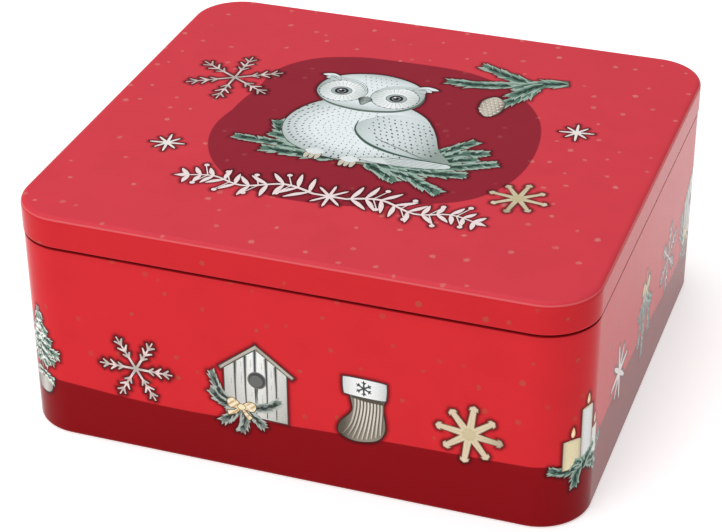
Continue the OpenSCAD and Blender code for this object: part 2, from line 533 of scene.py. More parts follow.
def make_plate(materials):
    half = SHEET / 2
    level = PANEL_Z + half
    foot = BEAD_FLAT / 2 + 2 * BEAD_R - SHEET
    inner_x, outer_x = -BEAD_INSET - foot, -BEAD_INSET + foot
    rise = BEAD_R - half
    path = [(inner_x - 1.0, level)]
    path += arc(inner_x, PANEL_Z + BEAD_R, rise, 270, 360, 5)
    path += arc(-BEAD_INSET - BEAD_FLAT / 2, PANEL_Z + BEAD_R, rise, 180, 90, 5)
    path += arc(-BEAD_INSET + BEAD_FLAT / 2, PANEL_Z + BEAD_R, rise, 90, 0, 5)
    path += arc(outer_x, PANEL_Z + BEAD_R, rise, 180, 270, 5)
    path += arc(-PANEL_R, PANEL_Z + SHEET - PANEL_R, PANEL_R - half, 90, 0, 6)
    path += [(-half, FOOT_R)]
    w, d, r = WALL_W - 2 * SHEET, WALL_D - 2 * SHEET, WALL_R - SHEET
    mesh = sweep_sheet("plate_sheet", path, columns(w, d, r), r, lambda x, z: False)
    piece = add_piece("plate_sheet", mesh, materials, "tin")
    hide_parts("bottom_plate")


def make_floor():
    mesh = bpy.data.meshes.new("floor")
    reach = FLOOR_REACH
    corners = [(-reach, -reach, 0), (reach, -reach, 0), (reach, reach, 0), (-reach, reach, 0)]
    mesh.from_pydata(corners, [], [(0, 1, 2, 3)])
    mesh.materials.append(floor_material())
    add_object("floor", mesh)


# ---------------------------------------------------------------- drawing outlines

INK_DARK = colour(62, 34, 34)
INK_GREY = colour(96, 100, 94)
SNOW = colour(238, 230, 226)
SNOW_SHADE = colour(186, 172, 166)
PAPER_WHITE = colour(236, 238, 236)
WOOD = colour(214, 200, 168)
WOOD_DARK = colour(134, 118, 98)
FIR_DARK = colour(46, 65, 59)
FIR = colour(90, 122, 108)
FIR_PALE = colour(160, 182, 170)
SLATE = colour(70, 74, 76)
CREAM = colour(236, 224, 184)
GOLD = colour(196, 158, 92)
BOW_WHITE = colour(244, 238, 216)
FLAME = colour(250, 214, 170)
FIR_INKS = (FIR_DARK, FIR, FIR_PALE)


def blend(a, b, t):
    t = max(0.0, min(1.0, t))
    return tuple(x + (y - x) * t for x, y in zip(a, b))


def sideways(middle, reach, power, near, far):
    """An ink that goes from near, at x = middle, to far, at reach to either side of it."""
    return lambda x, y: blend(near, far, abs((x - middle) / reach) ** power)


def turned(points, x=0.0, y=0.0, angle=0.0, scale=1.0):
    """Points scaled, turned by an angle in degrees and moved to x, y."""
    c, s = math.cos(math.radians(angle)) * scale, math.sin(math.radians(angle)) * scale
    return [(x + c * px - s * py, y + s * px + c * py) for px, py in points]


def ellipse(x, y, rx, ry, tilt=0.0, steps=24):
    ring = [(rx * math.cos(2 * math.pi * i / steps), ry * math.sin(2 * math.pi * i / steps))
            for i in range(steps)]
    return turned(ring, x, y, tilt)


def smooth(points, steps=6, closed=True):
    """A soft curve through the points."""
    count = len(points)
    out = []
    for i in range(count if closed else count - 1):
        if closed:
            a, b, c, d = (points[(i + k) % count] for k in (-1, 0, 1, 2))
        else:
            a, b, c, d = (points[max(0, min(count - 1, i + k))] for k in (-1, 0, 1, 2))
        for j in range(steps):
            t = j / steps
            out.append(tuple(0.5 * (2 * q + (r - p) * t + (2 * p - 5 * q + 4 * r - s) * t * t
                                    + (3 * q - p - 3 * r + s) * t * t * t)
                             for p, q, r, s in zip(a, b, c, d)))
    return out if closed else out + [points[-1]]


def stroke(path, start, end, middle=None):
    """A brush stroke along a path, with its widths at the start, the middle and the end."""
    middle = (start + end) / 2 if middle is None else middle
    left, right = [], []
    last = len(path) - 1
    for i, (x, y) in enumerate(path):
        ax, ay = path[max(i - 1, 0)]
        bx, by = path[min(i + 1, last)]
        length = math.hypot(bx - ax, by - ay) or 1.0
        t = i / last
        width = start + (middle - start) * 2 * t if t < 0.5 else middle + (end - middle) * (2 * t - 1)
        nx, ny = -(by - ay) / length * width / 2, (bx - ax) / length * width / 2
        left.append((x + nx, y + ny))
        right.append((x - nx, y - ny))
    return left + right[::-1]


def leaf(x, y, length, width, angle):
    """A pointed leaf or needle that starts at x, y."""
    return turned([(0, -width * 0.18), (length * 0.45, -width / 2), (length, 0), (length * 0.45, width / 2),
                   (0, width * 0.18)], x, y, angle)


def grown(points, by):
    """The outline moved outward by some distance."""
    area = sum(a[0] * b[1] - b[0] * a[1] for a, b in zip(points, points[1:] + points[:1]))
    side = by if area > 0 else -by
    out = []
    for i, (x, y) in enumerate(points):
        ax, ay = points[i - 1]
        bx, by_ = points[(i + 1) % len(points)]
        ex, ey = x - ax, y - ay
        fx, fy = bx - x, by_ - y
        el, fl = math.hypot(ex, ey) or 1.0, math.hypot(fx, fy) or 1.0
        nx, ny = ey / el + fy / fl, -ex / el - fx / fl
        grow = side / max(0.6, (nx * nx + ny * ny) / 2)
        out.append((x + nx * grow, y + ny * grow))
    return out


class Drawing:
    """Outlines with their ink, in millimetres, the last on top. Ink is a colour or a function of x and y."""

    def __init__(self, seed):
        self.shapes = []
        self.lot = random.Random(seed)

    def add(self, points, ink, outline=0.0, outline_ink=INK_DARK):
        if outline:
            self.shapes.append((grown(points, outline), outline_ink))
        self.shapes.append((points, ink))

    def many(self, outlines, ink, outline=0.0, outline_ink=INK_DARK):
        """Several outlines of one ink, whose darker edges all lie beneath them."""
        if outline:
            for points in outlines:
                self.shapes.append((grown(points, outline), outline_ink))
        for points in outlines:
            self.shapes.append((points, ink))

    def fir(self, path, length, inks, gap=0.75, spread=38, width=0.55):
        """A full fir spray: needles on both sides of a path, pale outside and darkest along the middle."""
        dark, green, pale = inks
        steps = sum(math.dist(a, b) for a, b in zip(path, path[1:])) / gap
        line = smooth(path, max(2, round(steps / (len(path) - 1))), closed=False)
        self.add(stroke(line, length * 0.6, length * 0.35, length * 0.85), green)
        for layer, ink in enumerate((pale, green, dark)):
            for i in range(layer % 2, len(line) - 1):
                (x, y), (bx, by) = line[i], line[i + 1]
                aim = math.degrees(math.atan2(by - y, bx - x))
                size = length * (1 - 0.3 * (i / len(line)) ** 2) * (1 - 0.24 * layer)
                for side in (-1, 1):
                    lean = spread + self.lot.uniform(-9, 9) - 6 * layer
                    reach = size * self.lot.uniform(0.8, 1.1)
                    if self.lot.random() < 0.95 - 0.2 * layer:
                        self.add(leaf(x, y, reach, width * (1.3 - 0.25 * layer), aim + side * lean), ink)
        self.add(leaf(*line[-2], length * 0.6, width * 1.2, aim), green)
        self.add(stroke(line, 0.6, 0.2, 0.5), dark)


def branch(d):
    """The fir branch that the owl sits on."""
    d.add(stroke(smooth([(-40, -20.5), (-14, -23), (8, -24), (34, -17)], 8, False), 0.8, 0.8, 2.2), WOOD_DARK)
    sprays = (([(-10, -22), (-28, -19.5), (-47, -19)], 4.0), ([(-22, -19), (-31, -13), (-37, -4.5)], 4.6),
              ([(-14, -21), (-25, -15), (-35, -13)], 4.4), ([(-8, -24), (-20, -24.5), (-34, -24.5)], 4.2),
              ([(-16, -21), (-27, -12.5), (-31, -7)], 4.0), ([(20, -16), (28, -7), (36, 3)], 4.0),
              ([(22, -18), (32, -8), (42, -3.5)], 4.0), ([(20, -19), (30, -14), (40, -9)], 3.6),
              ([(4, -24), (11, -28), (17, -32.5)], 4.0), ([(10, -24), (22, -29), (34, -36)], 4.4),
              ([(8, -23), (24, -24), (39, -22)], 4.4), ([(12, -22), (30, -19), (47.5, -10.5)], 4.2))
    for path, length in sprays:
        d.fir(path, length * 1.45, FIR_INKS, 1.5, 32, 1.8)


def off_middle(x, y):
    """How far x, y lies from the middle of the owl's body: about 1 at its edge."""
    return ((x + 5) / 33) ** 2 + ((y - 1) / 26) ** 2


def down(x, y, near, far):
    """The owl's down at x, y: white in the plump middle of its body and grey-green towards the edge."""
    return blend(near, far, (off_middle(x, y) - 0.35) * 1.1)


def owl(seed):
    """A plump white owl on a fir branch."""
    d = Drawing(seed)
    branch(d)
    white, shade = colour(232, 240, 242), colour(146, 160, 154)
    body = smooth([(-29, 17), (-35, 5), (-34.5, -7), (-28, -17), (-15, -23), (0, -24), (14, -21.5),
                   (25, -20.5), (33, -18.5), (31, -14), (25, -6), (21, 5), (13, 17), (0, 24), (-16, 25)], 6)
    d.add(body, lambda x, y: down(x, y, white, shade), 0.3, SLATE)
    for ring in range(1, 13):
        rx, ry = 2.65 * ring, 2.1 * ring
        count = 4 + 6 * ring
        for k in range(count):
            a = 2 * math.pi * (k + 0.5 * (ring % 2)) / count
            x = -7 + rx * math.cos(a) + d.lot.uniform(-0.3, 0.3)
            y = 0.5 + ry * math.sin(a) + d.lot.uniform(-0.3, 0.3)
            edge = off_middle(x, y)
            if y > 15 or edge > 0.86 or x > 14 or (x > -3 and y > -12):
                continue
            size = 0.8 + 0.85 * edge
            ink = blend(colour(150, 162, 162), colour(44, 50, 48), edge * 1.2)
            d.add(leaf(x, y, size, size * 0.5, -90 + (x + 7) * 1.4 + d.lot.uniform(-14, 14)), ink)
    tail = smooth([(0, -21), (12, -17.5), (30, -15.8), (33.5, -18.4), (24, -21.4), (10, -22.5)], 5)
    d.add(tail, colour(214, 222, 222), 0.2, colour(92, 106, 100))
    for k in range(5):
        y = -17.0 - k * 1.05
        d.add(stroke([(8 + k, y - 0.9), (20, y - 0.2), (31 - 0.4 * k, y)], 0.3, 0.2), colour(116, 130, 124))
    wing = smooth([(-9, 5), (-7, -2), (-1, -8.5), (9, -13), (20, -15), (32.5, -15.6), (26, -6.5), (22, 3),
                   (17, 11.5), (9, 15), (-1, 14)], 6)

    def wing_ink(x, y):
        return blend(white, shade, 0.2 + 0.5 * ((x - 6) / 17) ** 2 + 0.02 * max(0.0, -4 - y))

    d.add(wing, wing_ink, 0.1, shade)
    lower = smooth([(-9.5, 7), (-8, -1), (-1, -8.8), (9, -13.4), (20, -15.4), (32.5, -15.8)], 6, False)
    d.add(stroke(lower, 0.3, 0.5, 1.7), colour(96, 122, 112))
    d.add(stroke(lower, 0.15, 0.3, 0.55), colour(52, 66, 62))
    for row in range(9):
        for k in range(13):
            x, y = -4 + k * 2.35 + 0.9 * (row % 2), 12.5 - row * 2.55 - k * 0.25
            left = -6 - 0.62 * min(0.0, y - 5)
            right = 21.5 - 0.55 * max(0.0, y - 3) + 0.45 * max(0.0, -y)
            if not left < x < right or y < -13.4 + 0.05 * max(0.0, 12 - x) ** 1.6:
                continue
            size = d.lot.uniform(1.0, 1.6)
            darker = d.lot.random() * (0.35 + max(0.0, x - 2) / 26)
            ink = blend(colour(104, 110, 108), colour(40, 42, 42), darker)
            d.add(leaf(x, y, size, size * 0.55, -48 + d.lot.uniform(-12, 12)), ink)
    for k in range(6):
        x, y = 7 + 3.1 * k, -6.5 - 1.4 * k
        quill = smooth([(x - 5, y + 1.8), (x, y - 1), (min(x + 7, 31), max(y - 3.6, -15))], 5, False)
        d.add(stroke(quill, 0.45, 0.2), colour(126, 138, 134))
    head(d, white, shade)
    for foot_x, foot_y in ((-16.5, -24.2), (-2.5, -26.0)):
        toes = [smooth([(foot_x + t * 2.1 - 0.9, foot_y + 1.6), (foot_x + t * 2.1 - 0.7, foot_y - 1.6),
                        (foot_x + t * 2.1, foot_y - 2.5), (foot_x + t * 2.1 + 0.7, foot_y - 1.6),
                        (foot_x + t * 2.1 + 0.9, foot_y + 1.6)], 4) for t in (-1, 0, 1)]
        d.many(toes, colour(206, 198, 182), 0.3, colour(62, 60, 56))
        d.add(smooth([(foot_x - 3.6, foot_y + 3.2), (foot_x, foot_y + 0.9), (foot_x + 3.6, foot_y + 3.2),
                      (foot_x, foot_y + 5.5)], 5), colour(226, 232, 232))
    return d


def head(d, white, shade):
    """The owl's round head, with a soft disc round each eye."""
    skull = smooth([(-33.5, 31), (-31, 38), (-24, 43.2), (-13, 45.8), (-2, 43.6), (5.5, 38.6), (8.2, 31.5),
                    (6.5, 24), (0, 18.2), (-12.5, 15.6), (-25, 18), (-32, 24)], 6)
    d.add(turned(skull, 0.6, -1.4), colour(98, 116, 108))

    def skull_ink(x, y):
        return blend(white, shade, ((x + 12.5) / 21.5) ** 4 + ((y - 30.5) / 15.5) ** 4 * 0.8)

    d.add(skull, skull_ink, 0.3, SLATE)
    for side, tip_x in ((-1, -35.5), (1, 11.5)):
        root = -12.6 + side * 14.5
        for k in range(3):
            middle, tip = (root + tip_x) / 2, (tip_x - side * 2.1 * k, 39.8 - 2.2 * k)
            tuft = [(root, 38.5 - 1.3 * k), (middle, 41.4 - 1.5 * k), tip, (middle, 38.6 - 1.5 * k)]
            tuft = smooth(tuft, 4)
            d.add(tuft, blend(white, shade, 0.25 * k), 0.22, colour(84, 96, 92))
    for row in range(7):
        for k in range(-3, 4):
            x, y = -12.7 + (k + 0.5 * (row % 2)) * 2.1, 43.0 - row * 2.6
            if abs(k) * 2.2 < 8.6 - row * 1.15:
                d.add(leaf(x, y, 1.0, 0.45, -90 + d.lot.uniform(-12, 12)), colour(112, 122, 120))
    for side in (-1, 1):
        x, y = -12.8 + side * 10.4, 28.6
        disc = ellipse(x, y, 9.3, 8.8, -8 * side, 30)
        disc_ink = sideways(x, 9, 2, colour(242, 246, 246), colour(196, 206, 202))
        d.add(disc, disc_ink, 0.3, colour(128, 142, 136))
        for k in range(26):
            aim = 360 * k / 26
            ray = turned([(4.6, 0), (6.0, 0), (7.6 + 0.5 * (k % 2), 0)], x, y, aim)
            d.add(stroke(ray, 0.2, 0.14), colour(158, 170, 166))
        for k in range(20):
            aim = math.radians(-140 + 280 * k / 19) + (0 if side > 0 else math.pi)
            barb = x + 9.0 * math.cos(aim), y + 8.5 * math.sin(aim)
            d.add(leaf(*barb, 1.2, 0.5, math.degrees(aim) - 60 * side), colour(74, 84, 82))
        eye_x, eye_y = x + side * 0.6, y - 0.3
        d.add(ellipse(eye_x, eye_y, 3.9, 3.4), colour(168, 178, 176), 0.25, colour(96, 106, 104))
        d.add(ellipse(eye_x, eye_y, 2.7, 2.6), colour(34, 36, 40))
        d.add(ellipse(eye_x, eye_y, 1.75, 1.65), colour(134, 138, 140))
        d.add(ellipse(eye_x, eye_y, 1.1, 1.1), colour(18, 18, 22))
        d.add(ellipse(eye_x - 0.7, eye_y + 0.8, 0.5, 0.45, steps=10), colour(250, 250, 250))
        brow = smooth([(-12.8 + side * 2.0, 31), (-12.8 + side * 5, 35.6), (-12.8 + side * 12, 38.2),
                       (-12.8 + side * 19, 38.8)], 6, False)
        d.add(stroke(brow, 0.5, 0.15, 2.2), colour(222, 230, 230), 0.2, colour(112, 126, 120))
        d.add(stroke(brow, 0.2, 0.1, 0.45), colour(150, 162, 158))
    beak = [(-15.3, 24.4), (-12.8, 26.2), (-10.3, 24.4), (-11.6, 21.4), (-12.8, 19.6), (-14.0, 21.4)]
    beak_ink = sideways(-12.4, 2.6, 1, colour(172, 182, 176), colour(58, 70, 66))
    d.add(smooth(beak, 5), beak_ink, 0.3, colour(48, 56, 54))
    d.add(stroke([(-13.9, 23.6), (-12.8, 22.9), (-11.7, 23.6)], 0.25, 0.25), colour(60, 70, 68))

# ---------------------------------------------------------------- the printed motifs

def snowflake(seed, radius, first, arms=6, width=1.0):
    """A thin snowflake with forked arms."""
    d = Drawing(seed)
    lines = []
    for k in range(arms):
        aim = first + 360 * k / arms
        arm = stroke([(0.3, 0), (radius * 0.5, 0), (radius, 0)], width, width * 0.5)
        lines.append(turned(arm, angle=aim))
        for at, size in ((0.4, 0.15), (0.58, 0.2), (0.8, 0.17)):
            for side in (-1, 1):
                tip = (radius * (at + size * 0.6), side * radius * size * 0.75)
                twig = stroke([(radius * (at - 0.03), 0), tip], width * 1.15, width * 0.5)
                lines.append(turned(twig, angle=aim))
    lines.append(ellipse(0, 0, width, width, steps=12))
    rosy = blend(SNOW, colour(226, 176, 176), 0.4)

    def tint(x, y):
        """Greyer in the middle, and lighter and darker by turns along the arms."""
        out = math.hypot(x, y) / radius
        return blend(blend(colour(150, 156, 162), rosy, out * 4), SNOW_SHADE, 0.5 + 0.5 * math.sin(out * 17))

    d.many(lines, tint, 0.3)
    return d


def small_star(seed, radius):
    """Eight thin rays, every other one shorter."""
    d = Drawing(seed)
    rays = []
    for k in range(8):
        reach = radius if k % 2 == 0 else radius * 0.84
        wide = radius * 0.09
        rays.append(turned([(0, -wide), (reach * 0.7, -wide * 0.8), (reach, -wide * 0.4), (reach, wide * 0.4),
                            (reach * 0.7, wide * 0.8), (0, wide)], angle=45 * k + 8))
    hub = 0.4 + radius * 0.07
    d.many(rays + [ellipse(0, 0, hub, hub, steps=12)], SNOW, 0.22)
    return d


def wooden_star(seed, radius, first=-8, stout=1.0):
    """Eight flat wooden arms with small arrow heads on a broad hub."""
    d = Drawing(seed)
    arms = []
    for k in range(8):
        reach = radius * (1.0 if k % 2 == 0 else 0.93)
        root, half, head = radius * 0.11 * stout, radius * 0.075 * stout, radius * (0.05 + 0.075 * stout)
        arm = [(0, -root), (reach * 0.86, -half), (reach * 0.84, -head), (reach * 0.93, -head * 0.9),
               (reach, 0), (reach * 0.93, head * 0.9), (reach * 0.84, head), (reach * 0.86, half), (0, root)]
        arms.append(turned(arm, angle=first + 45 * k))
    for arm in arms:
        d.add(grown(arm, 0.28), WOOD_DARK)
    for arm in arms:
        light = blend(colour(224, 202, 180), WOOD_DARK, d.lot.choice((0.0, 0.15, 0.3, 0.7)))
        d.add(arm, lambda x, y, light=light: blend(light, WOOD, 1.2 - math.hypot(x, y) / radius))
    d.add(ellipse(0, 0, radius * 0.22, radius * 0.22, steps=18), colour(200, 188, 152))
    for k in range(8):
        grain = [(radius * 0.12, 0.0), (radius * 0.72, radius * d.lot.uniform(-0.03, 0.03))]
        d.add(turned(stroke(grain, 0.18, 0.12), angle=first + 45 * k), colour(190, 172, 140))
    return d


def birdhouse(seed):
    """A plank birdhouse with a pitched roof, and a bow with fir at its foot."""
    d = Drawing(seed)
    left, right, foot, eaves, peak = -12.0, 11.2, -19.0, 1.4, 10.2
    face = [(left, foot + 0.6), (right, foot), (right, eaves + 0.3), (-0.2, peak), (left, eaves - 0.3)]

    def face_ink(x, y):
        return blend(PAPER_WHITE, colour(176, 174, 166), 0.1 + 0.045 * abs(x) - 0.02 * y)

    d.add(face, face_ink, 0.35, SLATE)
    for k in range(1, 6):
        x = left + (right - left) * k / 6 + d.lot.uniform(-0.3, 0.3)
        top = peak - abs(x) * (peak - eaves) / 11.4 - 0.6
        gap = [(x, foot + 0.7), (x + d.lot.uniform(-0.3, 0.3), -6), (x, top)]
        d.add(stroke(gap, 0.5, 1.5, 0.9), colour(170, 170, 162))
        d.add(stroke(gap, 0.3, 0.75, 0.45), SLATE)
        for _ in range(3):
            y = d.lot.uniform(foot + 2, top - 4)
            grain = stroke([(x - 1.6, y), (x - 1.5, y + d.lot.uniform(1.5, 3.5))], 0.16, 0.1)
            d.add(grain, colour(150, 148, 140))
    d.many([[(-13.9, 0.2), (-13.3, -0.6), (0.0, 10.0), (0.0, 11.4)],
            [(13.9, 0.9), (13.2, 0.1), (0.0, 10.0), (0.0, 11.4)]],
           lambda x, y: blend(colour(196, 190, 176), WOOD_DARK, 0.4 + 0.3 * math.sin(x * 2.1)), 0.4, SLATE)
    d.add(stroke([(0.2, -5.6), (0.0, -9.0), (0.3, -12.5)], 1.0, 0.2), INK_GREY)
    d.add(ellipse(0.2, -3.0, 3.1, 3.1), SLATE, 0.45, colour(120, 118, 110))
    d.add(ellipse(-0.1, -3.4, 2.5, 2.4), colour(104, 106, 104))
    greens = (colour(52, 60, 56), colour(112, 122, 116), colour(170, 178, 171))
    for path in ([(-8, -15), (-13.5, -11.5), (-16.5, -4)], [(-7, -16), (-13, -14.5), (-16.5, -11.5)],
                 [(-7, -17), (-10, -20), (-12.5, -22)], [(-5, -17), (-5, -21), (-6, -25)],
                 [(-3, -17), (-0.5, -19.5), (1.5, -21.5)], [(-4, -15), (3, -14), (7.5, -11)]):
        d.fir(path, 4.6, greens, 0.95, 28, 1.1)
    bow = [smooth([(-6, -15.5), (-8.8, -12.3), (-11.2, -13.2), (-10.4, -16.2)]),
           smooth([(-6, -15.5), (-3.2, -12.9), (-0.6, -13.8), (-1.6, -16.7)]),
           stroke([(-6, -15.5), (-8.4, -17.9), (-11.2, -18.8)], 0.8, 1.9),
           stroke([(-6, -15.5), (-4.3, -18.2), (-2.6, -20.0)], 0.8, 1.9)]

    def bow_ink(x, y):
        return blend(BOW_WHITE, GOLD, 0.15 + 0.85 * math.sin(x * 1.1 - y * 1.3) ** 4)

    d.many(bow, bow_ink, 0.3, colour(98, 76, 46))
    d.add(ellipse(-6, -15.5, 1.4, 1.2, steps=14), CREAM, 0.2, colour(110, 86, 50))
    return d


def stocking(seed):
    """A ribbed stocking with a plain white cuff and a small flake mark."""
    d = Drawing(seed)
    sock = smooth([(-4.6, 5), (-4.6, -2.5), (-8.9, -8.2), (-9.6, -12.6), (-4, -15.2), (4, -13.6), (7.2, -8.5),
                   (6.4, 0), (6.4, 5)], 8)

    def sock_ink(x, y):
        return blend(colour(150, 144, 130), colour(88, 82, 72), 0.1 + ((x - 1) / 9) ** 2 * 0.9)

    d.add(sock, sock_ink, 0.35, colour(52, 42, 38))
    for k in range(9):
        x = -3.7 + k * 1.2
        foot = [(x - 1.5 + 0.14 * k, -8.0), (x - 4.4 + 0.5 * k, -14.3 + 0.14 * (k - 3.2) ** 2)]
        line = smooth([(x, 4.5), (x + 0.1, -1)] + foot, 6, False)
        d.add(stroke([(u + 0.6, v) for u, v in line], 0.45, 0.2, 0.4), colour(98, 90, 78))
        d.add(stroke(line, 0.55, 0.3, 0.6), lambda u, v: blend(colour(216, 212, 200), colour(138, 130, 116),
                                                             ((u - 1) / 8.5) ** 2 + 0.05 * max(0.0, -9 - v)))
    d.add(stroke([(-4.8, 3.4), (0, 2.6), (6.6, 2.4)], 1.4, 1.4), colour(84, 78, 68))
    cuff = smooth([(-7.0, 10.9), (-7.9, 10.0), (-7.7, 5.0), (-6.6, 4.0), (0, 3.5), (6.6, 3.6), (7.6, 4.6),
                   (7.8, 9.4), (6.9, 10.5), (0, 10.9)], 5)
    d.add(cuff, sideways(-0.5, 9.5, 2, PAPER_WHITE, colour(178, 184, 184)), 0.35, SLATE)
    for k in range(3):
        d.add(turned(stroke([(-3.1, 0), (0, 0), (3.1, 0)], 0.45, 0.45, 0.7), -0.4, 7.2, 60 * k + 30), SLATE)
        for side in (-1, 1):
            tick = [(side * 1.5, -0.25), (side * 2.5, 1.0), (side * 2.6, -1.0)]
            d.add(turned(tick, -0.4, 7.2, 60 * k + 30), SLATE)
    return d


def fir_tree(seed):
    """A small snowy fir in a round pot."""
    d = Drawing(seed)
    greens = (FIR_DARK, colour(112, 142, 126), colour(204, 214, 206))
    d.add(smooth([(-4.2, -13.5), (-4.7, -17.2), (-2.5, -19.6), (2.5, -19.6), (4.7, -17.2), (4.2, -13.5)], 5),
          sideways(1, 5.5, 1, colour(206, 202, 194), colour(110, 104, 98)), 0.35, SLATE)
    d.add(stroke([(0, -14), (0, -5), (0, 13)], 1.3, 0.4), WOOD_DARK)
    tiers = ((-13.2, 5.0), (-6.4, 3.2), (-3.6, 6.0), (-0.4, 8.0), (3.0, 5.4), (6.2, 3.8), (9.2, 2.4),
             (12.0, 1.4))
    for y, reach in tiers:
        for side in (-1, 1):
            lift = d.lot.uniform(-0.7, 0.7)
            path = [(0, y + 1.8), (side * reach * 0.6, y + 0.2 + lift), (side * reach, y - 0.8 + 1.4 * lift)]
            d.fir(path, 2.2 + reach * 0.2, greens, 0.95, 40, 0.75)
    d.fir([(0, 11), (0, 15.5)], 2.0, greens, 0.8, 26, 0.55)
    for _ in range(24):
        y = d.lot.uniform(-5.5, 11)
        x = d.lot.uniform(-0.8, 0.8) * (7 - 0.55 * abs(y + 0.5))
        d.add(ellipse(x, y, 0.9, 0.42, d.lot.uniform(-30, 30), 10), PAPER_WHITE)
    for x in (-3.6, -1.4, 1.8, 4.0):
        d.add(ellipse(x, -12.2 - 0.4 * abs(x), 0.8, 0.4, 8 * x, 10), PAPER_WHITE)
    return d


def candles(seed):
    """Three candles of different heights among fir twigs."""
    d = Drawing(seed)
    for path in ([(-3, -10), (-8, -10.5), (-12.5, -9.5)], [(3, -9), (9, -8), (14, -6)],
                 [(-1, -10), (-3, -13.5), (-3.5, -17)], [(2, -10), (6, -12.5), (9, -15)]):
        d.fir(path, 4.6, FIR_INKS, 1.0, 32, 1.1)
    sizes = ((1.8, 3.1, 14.0, PAPER_WHITE), (-5.2, 3.7, 2.4, CREAM), (7.6, 2.5, 2.6, PAPER_WHITE))
    for x, half, top, wax in sizes:
        body = [(x - half, -10), (x + half, -10), (x + half, top - 0.7), (x, top), (x - half, top - 0.3)]
        edge = blend(wax, colour(168, 156, 140), 0.7)
        d.add(body, sideways(x, half, 4, wax, edge), 0.25, colour(110, 90, 78))
        d.add(ellipse(x, top - 0.4, half * 0.9, 0.5, 0, 14), colour(222, 206, 178))
        d.add(stroke([(x, top - 0.2), (x + 0.1, top + 1.4)], 0.25, 0.2), INK_DARK)
        flame = smooth([(x, top + 1.0), (x + 0.85, top + 2.4), (x + 0.1, top + 5.2), (x - 0.8, top + 2.4)], 5)
        d.add(flame, FLAME, 0.2, colour(190, 120, 80))
        d.add(leaf(x, top + 1.6, 2.2, 0.7, 90), colour(255, 250, 240))
    for path in ([(-6, -11), (-1, -8.5), (4, -7.5)], [(9, -11), (3, -9.5), (-3, -8)],
                 [(0, -12), (2, -8), (6, -5)]):
        d.fir(path, 4.0, FIR_INKS, 1.0, 36, 1.0)
    return d


def fir_twig(seed):
    """A hanging fir twig with a cone, for the lid's upper right."""
    d = Drawing(seed)
    d.add(stroke(smooth([(57, 60), (45, 57), (34, 53)], 6, False), 0.7, 1.1), WOOD_DARK)
    for path in ([(38, 54), (26, 50), (15, 49)], [(42, 57), (34, 60), (24, 65)],
                 [(46, 57), (44, 48), (39, 38)], [(57, 61), (49, 58.5), (40, 53)],
                 [(48, 58), (44, 52), (40, 46)]):
        d.fir(path, 7.6, FIR_INKS, 1.15, 25, 1.55)
    cone = smooth([(34, 41.5), (38.5, 37), (38.3, 29.5), (34.6, 25), (30.8, 29.5), (30, 37)], 6)
    d.add(cone, sideways(33.8, 5, 2, colour(204, 196, 180), colour(112, 104, 92)), 0.35, SLATE)
    for row in range(7):
        for k in range(-2, 3):
            x, y = 34.2 + (k + 0.5 * (row % 2)) * 1.75, 39 - row * 2.1
            if ((x - 34.3) / 4.2) ** 2 + ((y - 33) / 8) ** 2 < 0.85:
                scale = smooth([(x - 0.75, y + 0.6), (x, y - 0.9), (x + 0.75, y + 0.6), (x, y + 0.2)], 3)
                d.add(scale, colour(224, 218, 204), 0.12, colour(120, 112, 98))
    return d


def garland(seed):
    """The white ornament along the lid's front edge: a leafy sprig to each side of a small star."""
    d = Drawing(seed)
    white = colour(240, 222, 222)
    for side in (-1, 1):
        bends = ((6, -51), (18, -47.8), (32, -53.4), (44, -50), (54, -52.5))
        line = smooth([(side * x, y) for x, y in bends], 5, False)
        leaves = [stroke(line, 1.3, 0.6)]
        for i in range(1, len(line) - 1, 2):
            (x, y), (bx, by) = line[i], line[i + 1]
            aim = math.degrees(math.atan2(by - y, bx - x))
            for up in (-1, 1):
                reach = (10.6 - 0.09 * abs(x)) * d.lot.uniform(0.92, 1.06)
                tip = aim + up * d.lot.uniform(54, 64)
                blade = [(0, 0), (reach * 0.45, 0.95), (reach, 0.5 * up), (reach * 0.5, -0.95)]
                leaves.append(turned(smooth(blade, 4), x, y, tip))
        leaves.append(leaf(*line[-2], 5.6, 2.4, math.degrees(math.atan2(-0.3, side))))
        for i in range(4, len(line) - 4, 4):
            x, y = line[i]
            for up in (-1, 1):
                leaves.append(stroke([(x, y), (x + side * 3.1, y + up * 6.0)], 0.5, 0.4))
                leaves.append(ellipse(x + side * 3.2, y + up * 6.8, 1.0, 1.0, steps=12))
        d.many(leaves, white, 0.16)
    ray = [(0, -0.6), (6.4, -0.5), (7.8, 0), (6.4, 0.5), (0, 0.6)]
    d.many([turned(ray, 0, -51, 45 * k) for k in range(8)], white, 0.16)
    return d


def fir_sprig(seed):
    """A hanging fir sprig with a ribbon, as tall as a candle."""
    d = Drawing(seed)
    for path in ([(0, 13), (-1, 2), (-2, -15)], [(0, 11), (-5, 4), (-9, -7)], [(0, 11), (5, 3), (8, -9)],
                 [(0, 12), (3, 7), (10, 2)], [(0, 12), (-4, 8), (-10, 5)]):
        d.fir(path, 4.0, FIR_INKS, 1.05, 32, 1.0)
    d.add(stroke([(0, 12), (0.4, 17), (0, 20)], 0.5, 0.4), CREAM, 0.2)
    bow = [smooth([(0, 12.5), (-3.4, 16.0), (-6, 14.6), (-5, 11.2)]),
           smooth([(0, 12.5), (3.4, 15.6), (6, 14.0), (5, 10.8)]),
           stroke([(0, 12.5), (-1.8, 9.6), (-3.6, 8.0)], 0.8, 1.7),
           stroke([(0, 12.5), (2, 9.8), (3.6, 7.6)], 0.8, 1.7)]
    d.many(bow, lambda x, y: blend(CREAM, GOLD, 0.5 + 0.5 * math.sin(x * 1.5 - y)), 0.25, colour(110, 86, 50))
    d.add(ellipse(0, 12.5, 1.2, 1.0, steps=14), CREAM, 0.2, colour(110, 86, 50))
    return d


# ---------------------------------------------------------------- ink films

